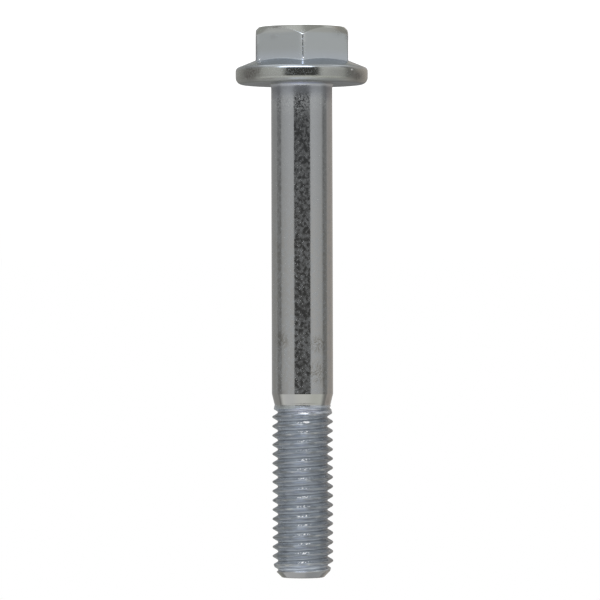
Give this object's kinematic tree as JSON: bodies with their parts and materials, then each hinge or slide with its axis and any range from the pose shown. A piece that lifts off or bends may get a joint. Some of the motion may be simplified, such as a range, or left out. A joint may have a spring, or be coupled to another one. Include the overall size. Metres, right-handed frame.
{
  "type": "flange bolt",
  "caption": "Zinc-plated steel hexagon flange bolt with a long plain shank, a tapered neck and a rolled right-hand thread with a chamfered tip.",
  "frame": {"origin": "centre of the head's flat top, which is the bolt's lowest face as it stands on its head", "axes": "+Z along the bolt's axis from the head to the tip; one corner of the hexagon points to -Y and two of its flats face +X and -X"},
  "size_m": [0.0214, 0.0214, 0.089],
  "materials": {
    "zinc_plated_steel": "satin"
  },
  "bodies": {
    "root": {"flange_bolt": "zinc_plated_steel"}
  },
  "joints": []
}
